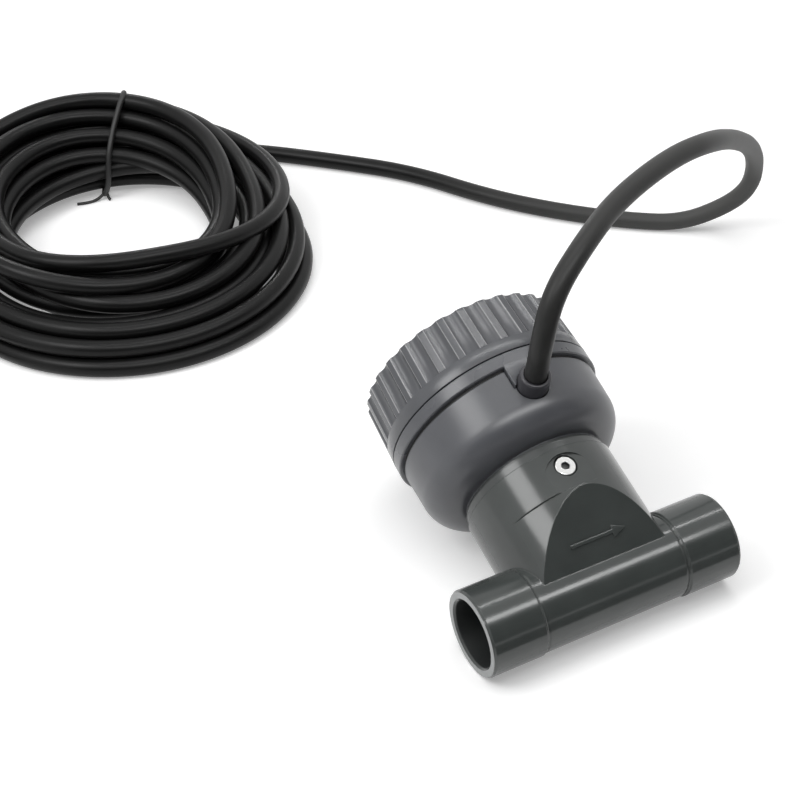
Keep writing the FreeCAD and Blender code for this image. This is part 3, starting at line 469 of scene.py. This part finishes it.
RATE = (-13.2, LCD_MIDDLE - 1.9, 8.4)
TOTAL = (-9.5, LCD_MIDDLE - 7.2, 3.2)
lcd_row("lcd_ghosts", (("8888", *RATE), ("888888", *TOTAL)), 0.02,
        finish("unlit_bar", (0.30, 0.345, 0.275), 0.2, grain=3000.0, depth=0.003, worn=0.0))
lcd_row("lcd_figures", (("12.60", *RATE), ("00384.7", *TOTAL)), 0.05,
        finish("lit_bar", (0.018, 0.022, 0.020), 0.25, grain=3000.0, depth=0.003, worn=0.0))


def framed(width, depth, corner, line, steps=6):
    """Outlines of a thin rounded frame, outer and inner, in order round it."""
    loops = []
    for inset in (0, line):
        loop = []
        radius = corner - inset
        for quarter, (sx, sy) in enumerate(((1, 1), (-1, 1), (-1, -1), (1, -1))):
            for i in range(steps + 1):
                angle = math.pi / 2 * (quarter + i / steps)
                loop.append((sx * (width / 2 - corner) + radius * math.cos(angle),
                             sy * (depth / 2 - corner) + radius * math.sin(angle)))
        loops.append(loop)
    return loops


def printed_frame(shape, loops, middle, low, high):
    """Adds a closed flat frame between two outlines."""
    rings = []
    for loop, level in ((loops[0], low), (loops[0], high), (loops[1], high), (loops[1], low)):
        rings.append([shape.verts.new(((middle[0] + x) * MM, (middle[1] + y) * MM, level * MM)) for x, y in loop])
    for a, b in zip(rings, rings[1:] + rings[:1]):
        for i in range(len(a)):
            shape.faces.new((a[i - 1], a[i], b[i], b[i - 1]))


ink_white = finish("ink_white", (0.62, 0.62, 0.60), 0.5, grain=5000.0, depth=0.006, mottle=0.05, worn=0.0)
border = bmesh.new()
printed_frame(border, framed(43.0, 21.0, 2.0, 0.5), (0, LCD_MIDDLE), FACE_TOP, FACE_TOP + 0.04)
face_border = piece_from(border, "face_border", HEAD, ink_white)
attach(face_border, "meter_body")


# Keys: three round soft-grey keys below the display, each with a raised white sign.
# A ring stands for set, and triangles stand for up and down.

KEY_TOP = 94.7
KEY_ROW = -17.0
SIGN_RISE = 0.12
key_grey = finish("key_grey", (0.16, 0.165, 0.175), 0.48, grain=1900.0, depth=0.04)
dress(key_grey, "set_button", "up_button", "down_button")
ring = framed(2.6, 2.6, 1.3, 0.45)
for body, x, point in (("set_key", -14, 0), ("up_key", 0, 1), ("down_key", 14, -1)):
    sign = bmesh.new()
    if point:
        outline = [(-1.45, -0.95), (1.45, -0.95), (0, 1.5)]
        prism(sign, [(x + point * u, KEY_ROW + point * v) for u, v in outline], KEY_TOP, KEY_TOP + SIGN_RISE)
    else:
        printed_frame(sign, ring, (x, KEY_ROW), KEY_TOP, KEY_TOP + SIGN_RISE)
    key_sign = piece_from(sign, body + "_sign", HEAD, ink_white)
    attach(key_sign, body)


# Window: a disc of clear polycarbonate under the cap's lip.
# It lies on its seal, stays still while the cap turns, and rises with it.

clear_window = finish("clear_window", (0.95, 0.97, 0.96), 0.05, grain=300.0, depth=0.002, mottle=0.01, rub_and_highlight=0.02,
                      worn=0.0)
glass = clear_window.node_tree.nodes["Principled BSDF"]
glass.inputs["Transmission Weight"].default_value = 1.0
glass.inputs["IOR"].default_value = 1.58
dress(clear_window, "window")


# Cap: a moulded ring with finger flutes that screws over the neck and holds the window down.
# Its ribs are flat with softened edges, and the flutes end on a small ledge above a plain skirt.

FLUTES = 30
CAP_LEDGE = 84.0
CAP_TOP = 102.9
LEDGE_R, TOP_R = 41.4, 40.5
# Half of one rib and flute: distance from the rib's middle, depth below the rib's face, and how strongly the edge is
# painted pale, a painted highlight
FLUTE_SHAPE = ((0, 0, 0), (1.05, 0, 0), (1.2, 0.01, 0.5), (1.31, 0.05, 1), (1.4, 0.12, 1), (1.5, 0.23, 0.3),
               (1.68, 0.42, 0), (2.0, 0.68, 0), (2.4, 0.92, 0), (2.9, 1.14, 0), (3.4, 1.28, 0), (3.9, 1.37, 0),
               (4.335, 1.4, 0))
# Section of the ring: radius, height and share of the flute's depth, up the outside, over the lip and down the bore
CAP_SECTION = ((41.55, 78.5, 0), (41.66, 78.55, 0), (41.7, 78.7, 0), (41.41, 83.8, 0), (41.36, 83.95, 0),
               (41.3, 84.0, 0.12), (41.4, 84.03, 0.8), (41.39, 84.15, 0.94), (41.38, 84.4, 1), (41.0, 92.0, 1),
               (40.56, 101.6, 1), (40.52, 102.45, 1), (40.4, 102.7, 1), (40.15, 102.86, 1), (39.9, 102.9, 1),
               (38.6, 102.9, 0), (34.6, 102.9, 0), (34.3, 102.82, 0), (33.3, 101.8, 0),
               (33.2, 101.5, 0), (33.2, 99.7, 0), (38.35, 99.7, 0), (38.35, 96.5, 0), (37.75, 96.5, 0),
               (37.75, 78.5, 0))


def cap_sector():
    """One rib with half a flute on each side, as a strip of the whole section."""
    half = [(s / LEDGE_R, depth, rub_and_highlight) for s, depth, rub_and_highlight in FLUTE_SHAPE]
    half[-1] = (math.pi / FLUTES, *half[-1][1:])
    across = [(-a, *rest) for a, *rest in half[:0:-1]] + half
    shape = bmesh.new()
    # Painted highlight: each vertex keeps its share of the pale paint on the ribs' edges
    wear_and_highlight = shape.verts.layers.float.new("painted_rib_highlight")
    columns = []
    for angle, depth, rub_and_highlight in across:
        column = []
        for r, z, share in CAP_SECTION:
            rib = LEDGE_R + (TOP_R - LEDGE_R) * (z - CAP_LEDGE) / (CAP_TOP - CAP_LEDGE)
            r = min(r, rib - share * depth) if share else r
            column.append(shape.verts.new((r * math.cos(angle) * MM, r * math.sin(angle) * MM, z * MM)))
            column[-1][wear_and_highlight] = rub_and_highlight * share
        columns.append(column)
    for a, b in zip(columns, columns[1:]):
        for i in range(len(a)):
            shape.faces.new((a[i - 1], b[i - 1], b[i], a[i]))
    mesh = bpy.data.meshes.new("cap_sector")
    shape.to_mesh(mesh)
    shape.free()
    return mesh


def ring_of_sectors():
    """Geometry Nodes tree: the sector set round the axis, welded into one ring."""
    sockets = (("Sector", "Geometry"), ("Count", "Int"), ("Weld", "Float"))
    tree, inputs, given = geometry_tree("ring_of_sectors", sockets)
    places = tree.nodes.new("GeometryNodePoints")
    tree.links.new(given.outputs["Count"], places.inputs["Count"])
    number = tree.nodes.new("GeometryNodeInputIndex")
    part_turn = tree.nodes.new("ShaderNodeMath")
    part_turn.operation = "DIVIDE"
    part_turn.inputs[0].default_value = 2 * math.pi
    tree.links.new(given.outputs["Count"], part_turn.inputs[1])
    turn = tree.nodes.new("ShaderNodeMath")
    turn.operation = "MULTIPLY"
    tree.links.new(number.outputs["Index"], turn.inputs[0])
    tree.links.new(part_turn.outputs["Value"], turn.inputs[1])
    about_axis = tree.nodes.new("ShaderNodeCombineXYZ")
    tree.links.new(turn.outputs["Value"], about_axis.inputs["Z"])
    copies = tree.nodes.new("GeometryNodeInstanceOnPoints")
    tree.links.new(places.outputs["Points"], copies.inputs["Points"])
    tree.links.new(given.outputs["Sector"], copies.inputs["Instance"])
    tree.links.new(about_axis.outputs["Vector"], copies.inputs["Rotation"])
    apart = tree.nodes.new("GeometryNodeRealizeInstances")
    tree.links.new(copies.outputs["Instances"], apart.inputs["Geometry"])
    weld = tree.nodes.new("GeometryNodeMergeByDistance")
    tree.links.new(apart.outputs["Geometry"], weld.inputs["Geometry"])
    tree.links.new(given.outputs["Weld"], weld.inputs["Distance"])
    coat(tree, given, weld.outputs["Geometry"])
    return tree, inputs


def painted_rib_highlight(tree, place):
    """How strongly the ribs' edges are painted pale, a painted highlight, from the mesh."""
    wear_and_highlight = tree.nodes.new("ShaderNodeAttribute")
    wear_and_highlight.attribute_name = "painted_rib_highlight"
    return wear_and_highlight.outputs["Fac"]


cap_grey = finish("cap_grey", (0.082, 0.085, 0.093), 0.24, grain=1500.0, depth=0.03, rub_and_highlight=0.03)
# Painted highlight: the ribs' rounded edges are painted pale, where they catch the light
toned(cap_grey, painted_rib_highlight, 0, 1, (0.32, 0.32, 0.33), 0.3)
ring_tree, ring_inputs = ring_of_sectors()
fluted_cap = grown("fluted_cap", cap_sector(), ring_tree, ring_inputs,
                   {"Count": FLUTES, "Weld": 0.002 * MM, "Finish": cap_grey})
fluted_cap.data.transform(HEAD @ Matrix.Rotation(math.pi / FLUTES, 4, "Z"))
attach(fluted_cap, "cap_body")
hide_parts("screw_cap")


# Gland: a short grey boss of moulded nylon, clipped into the bowl's wall.
# It grips the cable where it leaves the head.

dress(finish("gland_grey", (0.034, 0.033, 0.039), 0.34, grain=1500.0, depth=0.03), "cable_gland")


# Cable: four cores in a black sheath, soft enough to lie in loose turns.
# It leaves the gland, arches over the head and lies on the table in a coil held by one tie.

CABLE_D = 8.2 * MM
LEAD = [(0, -0.9, 70.4), (0, -5.83, 82.8),
        (-2.2, -12.8, 100.1), (3.5, -10.8, 117.7), (21.3, -2.3, 127.9), (45.6, 13.9, 129.7), (78, 27.5, 130.5),
        (103.1, 37, 125.6), (141.9, 72.6, 98.7), (177.3, 105.6, 70.1), (199.2, 127.7, 45.3), (203.1, 134.8, 27.5),
        (197.7, 143.9, 14.6), (180.5, 156.3, 4.1), (160.4, 171.2, 4.1), (136.9, 195.9, 4.1), (114.7, 226.6, 4.1),
        (93.9, 268.7, 4.1), (65.9, 300.8, 4.1), (36.5, 331.5, 4.1), (9, 353, 4.1), (-26, 360, 6.9)]
TAIL = [(-155, 256, 9.5), (-157, 243, 6.5), (-160, 230, 4.6), (-165, 219, 4.1), (-174, 210, 4.1), (-191, 203, 4.1),
        (-212, 206, 4.1)]
COIL_MIDDLE = (-58, 270)
TURN_STEPS = 24
OFF_COIL = (1, -0.5, 0)   # over the table, to the right and away from the coil
# Radius and height of each turn at the back, left, front and right of the coil
TURNS = (
    ((90.2, 6.9), (86.3, 4.1), (93.1, 4.1), (79.2, 4.1)),
    ((81.7, 6.9), (77.9, 4.1), (84.6, 4.1), (71.0, 4.1)),
    ((73.4, 6.9), (69.5, 4.1), (75.7, 4.1), (59.6, 8.1)),
    ((87.5, 15.2), (72.5, 12.1), (72.4, 12.6), (66.4, 14.0)),
    ((96.6, 12.6), (85.7, 12.7), (88.8, 11.3), (78.4, 14.6)),
    ((93.9, 21.6), (79.0, 17.4), (80.8, 15.1), (71.8, 20.1)),
    ((88.7, 29.0), (60.4, 23.3), (68.5, 19.8), (63.7, 26.7)),
    ((101.0, 36.2), (64.8, 15.9), (58.3, 13.5), (58.3, 19.2)),
    ((69.0, 13.9), (55.0, 8.6), (52.1, 4.8), (46.0, 7.3)),
    ((72.3, 23.4), (52.2, 16.4), (48.4, 13.1), (46.5, 15.6)),
    ((78.3, 31.4), (51.0, 24.6), (45.2, 21.1), (48.5, 23.6)),
    ((88.2, 37.6), (60.7, 31.6), (51.5, 32.2), (79.5, 23.0)),
    ((97.3, 29.0), (75.2, 35.6), (56.5, 23.3), (51.9, 32.9)),
    ((95.5, 42.4), (95.0, 13.0)),
)


def between(a, b, c, d, t):
    """Smooth value from b to c, led by its neighbours."""
    return b + 0.5 * t * (c - a + t * (2 * a - 5 * b + 4 * c - d + t * (3 * (b - c) + d - a)))


def coil_points():
    """Control points of the coil's turns, from the back and counter-clockwise from above."""
    quarters = [quarter for turn in TURNS for quarter in turn]
    per_quarter = TURN_STEPS // 4
    # The spline runs inside its control points, which stand out by this factor
    outset = 1 / (0.75 + 0.25 * math.cos(2 * math.pi / TURN_STEPS))
    points = []
    for step in range((len(quarters) - 1) * per_quarter + 1):
        q = min(step // per_quarter, len(quarters) - 2)
        t = step / per_quarter - q
        around = [quarters[min(max(q + i, 0), len(quarters) - 1)] for i in (-1, 0, 1, 2)]
        radius, height = (between(*values, t) for values in zip(*around))
        angle = math.pi / 2 + step * 2 * math.pi / TURN_STEPS
        points.append((COIL_MIDDLE[0] + outset * radius * math.cos(angle),
                       COIL_MIDDLE[1] + outset * radius * math.sin(angle), max(height, CABLE_D / MM / 2)))
    return points


def lead_curve(name, points, radius, material, closed=False):
    """Round lead whose line is a NURBS spline through the route's control points, in millimetres."""
    curve = bpy.data.curves.new(name, "CURVE")
    curve.dimensions = "3D"
    curve.bevel_depth = radius
    curve.bevel_resolution = 6
    curve.use_fill_caps = True
    spline = curve.splines.new("NURBS")
    spline.points.add(len(points) - 1)
    for point, place in zip(spline.points, points):
        point.co = [c * MM for c in place] + [1.0]
    spline.order_u = 3
    spline.use_endpoint_u = not closed
    spline.use_cyclic_u = closed
    spline.resolution_u = 12
    curve.materials.append(material)
    lead = bpy.data.objects.new(name, curve)
    bpy.context.scene.collection.objects.link(lead)
    return lead


def finer(points):
    """Control points of the same spline, twice as many, so that the arch is drawn with short facets."""
    cut = [points[0]]
    for a, b in zip(points, points[1:]):
        for share in (0.25, 0.75):
            cut.append(tuple(u + share * (v - u) for u, v in zip(a, b)))
    return cut


black_sheath = finish("black_sheath", (0.006, 0.006, 0.006), 0.36, grain=1100.0, depth=0.02, worn=0.0, gloss=0.18)
# Painted light: the lead is painted paler and greyer, a painted sheen for the light it catches, and made rougher
# towards the right and away from the coil
toned(black_sheath, along(OFF_COIL), -40 * MM, 140 * MM, (0.085, 0.085, 0.083), 0.55)
cable = lead_curve("signal_cable", finer(LEAD) + coil_points() + TAIL, CABLE_D / 2, black_sheath)
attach(cable, "meter_body")
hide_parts("cable", "cable_coil", "cable_tail")


# Tie: a thin black rubber tie drawn round the back of the coil.
# Its two ends are twisted together and lie on the table, inside the coil.

TIE_AZIMUTH = math.radians(74)
# Distance from the coil's middle, height, and how far aside the tie slants
TIE_LOOP = ((62.5, 11.0, 4.7), (63.0, 17.0, 4.0), (64.4, 22.3, 3.0), (66.0, 26.4, 2.0), (70.6, 32.2, -0.5),
            (72.6, 34.4, -1.5), (80.7, 44.2, -7.0), (83.6, 46.1, -9.0), (86.9, 46.6, -10.0), (90.1, 45.1, -9.8),
            (92.6, 42.0, -9.0), (105.5, 30.5, -6.0), (108.0, 20.5, -3.0), (106.5, 14.0, -1.5), (93.3, 2.1, 4.0),
            (89.5, 1.4, 5.0), (71.5, 1.4, 7.5), (66.8, 1.9, 7.8), (64.0, 5.0, 6.5))
TIE_ENDS = (((66.0, 3.6, 7.4), (64.6, 2.2, 9.5), (63.6, 0.8, 13.0), (62.6, 0.8, 18.0), (62.9, 0.8, 22.0)),
            ((65.8, 5.0, 6.6), (64.2, 2.6, 6.2), (63.4, 0.9, 5.8), (63.0, 0.8, 5.2)))
TIE_R, TIE_END_R = 1.4, 0.77


def at_tie(out, height, aside):
    """Place on the table frame from a place in the tie's slice of the coil."""
    return (COIL_MIDDLE[0] + out * math.cos(TIE_AZIMUTH) - aside * math.sin(TIE_AZIMUTH),
            COIL_MIDDLE[1] + out * math.sin(TIE_AZIMUTH) + aside * math.cos(TIE_AZIMUTH), height)


tie_black = finish("tie_black", (0.012, 0.012, 0.012), 0.5, grain=2600.0, mottle=0.2, worn=0.0)
tie_parts = [lead_curve("tie_loop", [at_tie(*p) for p in TIE_LOOP], TIE_R * MM, tie_black, closed=True)]
for i, end in enumerate(TIE_ENDS):
    tie_parts.append(lead_curve("tie_end_%d" % i, [at_tie(*p) for p in end], TIE_END_R * MM, tie_black))
tie_shape = bmesh.new()
for part in tie_parts:
    made = settled(part)
    tie_shape.from_mesh(made.data)
    bpy.data.objects.remove(made)
rubber_tie = piece_from(tie_shape, "rubber_tie", Matrix.Identity(4), tie_black)
rubber_tie.data.shade_smooth()
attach(rubber_tie, "meter_body")
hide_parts("coil_tie")


# Bare end: the sheath is stripped back, and the four cores fan out on the table.
# Each has coloured insulation and a tip of tinned copper.

END = Vector(TAIL[-1])
AHEAD = (END - Vector(TAIL[-2])).normalized()
ASIDE = Vector((0, 0, 1)).cross(AHEAD)
STRIP_LENGTH, CORE_PITCH, CORE_SPREAD, CORE_DROP = 33.0, 1.75, 3.5, 3.3
CORE_R, TIP_R = 0.8, 0.5
CORE_ROUTE = ((0, 0, 0), (0.25, 0, 0), (0.55, 0.3, 1), (0.84, 0.68, 1))   # shares of length, spread and drop
TIP_ROUTE = ((0.8, 0.63, 1), (0.9, 0.8, 1), (1, 1, 1))
copper = finish("tinned_copper", (0.60, 0.36, 0.22), 0.3, grain=4000.0, depth=0.02, mottle=0.15, worn=0.0, metal=1.0)
for i, colour in enumerate(CORE_COLOURS):
    insulation = finish("core_insulation_%d" % i, colour, 0.36, grain=2000.0, worn=0.0)
    for name, shares, radius, material in (("core_end_%d" % i, CORE_ROUTE, CORE_R, insulation),
                                           ("core_tip_%d" % i, TIP_ROUTE, TIP_R, copper)):
        route = []
        for ahead, spread, drop in shares:
            side = (i - 1.5) * (CORE_PITCH + CORE_SPREAD * spread)
            route.append(END + AHEAD * ahead * STRIP_LENGTH + ASIDE * side - Vector((0, 0, CORE_DROP * drop)))
        end = lead_curve(name, route, radius * MM, material)
        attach(end, "meter_body")
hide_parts("cable_end_cores")


# Studio: a white table under a white sky, with lamps above and in front, a soft window at the left and a back spot.
# A dark screen behind the camera and a dark cloth in front keep glossy fronts from greying over.

TABLE_REACH = 6.0
GLOW_NEAR, GLOW_FAR = 0.30, 0.85
GLOW_FROM, GLOW_TO = 0.7, 2.2


def white_light(tree, shader, plain, white):
    """One strength for what the camera and reflections see, and a plain one for what lights the object."""
    path = tree.nodes.new("ShaderNodeLightPath")
    seen = path.outputs["Is Camera Ray"]
    for ray in ("Is Glossy Ray", "Is Transmission Ray"):
        either = tree.nodes.new("ShaderNodeMath")
        either.operation = "MAXIMUM"
        tree.links.new(seen, either.inputs[0])
        tree.links.new(path.outputs[ray], either.inputs[1])
        seen = either.outputs["Value"]
    strength = ranged(tree, seen, 0, 1, plain, white)
    tree.links.new(strength, shader.inputs["Strength"])
    return strength.node


world = bpy.data.worlds.new("white_studio")
world.use_nodes = True
bpy.context.scene.world = world
background = world.node_tree.nodes["Background"]
background.inputs["Color"].default_value = (1, 1, 1, 1)
white_light(world.node_tree, background, 0.10, 1.0)


def panel(name, corners):
    """Flat sheet of the studio, with a material of its own."""
    mesh = bpy.data.meshes.new(name)
    mesh.from_pydata(corners, [], [(0, 1, 2, 3)])
    sheet = bpy.data.objects.new(name, mesh)
    bpy.context.scene.collection.objects.link(sheet)
    material = bpy.data.materials.new(name)
    material.use_nodes = True
    mesh.materials.append(material)
    return sheet, material.node_tree


table_corners = [(x * TABLE_REACH, y * TABLE_REACH, 0) for x, y in ((-1, -1), (1, -1), (1, 1), (-1, 1))]
tree = panel("table_top", table_corners)[1]
paper = tree.nodes["Principled BSDF"]
paper.inputs["Base Color"].default_value = (0.9, 0.9, 0.9, 1)
paper.inputs["Roughness"].default_value = 0.9
paper.inputs["Specular IOR Level"].default_value = 0.0
# The table glows more in the distance, where the lamps no longer reach it
glow = tree.nodes.new("ShaderNodeEmission")
level = white_light(tree, glow, 0.0, GLOW_NEAR)
away = away_from((0, 0, 0))(tree, tree.nodes.new("ShaderNodeTexCoord").outputs["Object"])
tree.links.new(ranged(tree, away, GLOW_FROM, GLOW_TO, GLOW_NEAR, GLOW_FAR), level.inputs["To Max"])
both = tree.nodes.new("ShaderNodeAddShader")
tree.links.new(paper.outputs["BSDF"], both.inputs[0])
tree.links.new(glow.outputs["Emission"], both.inputs[1])
tree.links.new(both.outputs["Shader"], tree.nodes["Material Output"].inputs["Surface"])

# Left, right, and the near and far edge of each dark sheet as Y and height
DARK_SHEETS = (("dark_screen", -2.6, 2.2, (-1.3, 0.12), (-1.0, 1.25)),
               ("dark_cloth", -0.5, 0.6, (-1.3, 0.001), (-0.1, 0.001)))
for name, left, right, near, far in DARK_SHEETS:
    screen, tree = panel(name, [(left, *near), (right, *near), (right, *far), (left, *far)])
    cloth = tree.nodes["Principled BSDF"]
    cloth.inputs["Base Color"].default_value = (0.02, 0.02, 0.02, 1)
    cloth.inputs["Roughness"].default_value = 1.0
    for ray in ("camera", "diffuse", "transmission", "shadow", "volume_scatter"):
        setattr(screen, "visible_" + ray, False)


def lamp(name, place, aim, size, power, unseen_by=None):
    """Area lamp, left out of one kind of ray where that is named."""
    light = bpy.data.lights.new(name, "AREA")
    light.shape = "RECTANGLE"
    light.size, light.size_y = size
    light.energy = power
    holder = bpy.data.objects.new(name, light)
    bpy.context.scene.collection.objects.link(holder)
    holder.location = place
    holder.rotation_euler = (Vector(aim) - Vector(place)).to_track_quat("-Z", "Y").to_euler()
    if unseen_by:
        setattr(holder, "visible_" + unseen_by, False)


lamp("overhead", (0, -0.05, 1.5), (0, 0.05, 0), (1.8, 1.8), 21.0, unseen_by="glossy")
lamp("top_strip", (0.3, 0.26, 1.3), (0.3, 0, 0), (1.3, 0.05), 3.8, unseen_by="diffuse")
lamp("front_strip", (0, -0.55, 1.05), (0, 0, 0), (1.3, 0.2), 7.5, unseen_by="diffuse")
lamp("left_window", (-0.8, 0.1, 0.95), (0, 0, 0.05), (0.52, 0.52), 5.2)
lamp("back_spot", (0.25, 1.2, 0.55), (-0.05, 0.22, 0), (0.1, 0.1), 0.7)

CAMERA_PLACE = (-0.2633, -0.4355, 0.4478)
CAMERA_RIGHT = Vector((0.8828, -0.4676, -0.0445))
CAMERA_UP = Vector((0.3111, 0.5111, 0.8013))
camera_data = bpy.data.cameras.new("camera")
camera_data.sensor_width = 36.0
camera_data.lens = 79.56
camera = bpy.data.objects.new("camera", camera_data)
bpy.context.scene.collection.objects.link(camera)
turned = Matrix((CAMERA_RIGHT, CAMERA_UP, CAMERA_RIGHT.cross(CAMERA_UP))).transposed().to_4x4()
camera.matrix_world = Matrix.Translation(CAMERA_PLACE) @ turned
bpy.context.scene.camera = camera
bpy.context.scene.view_settings.view_transform = "Standard"
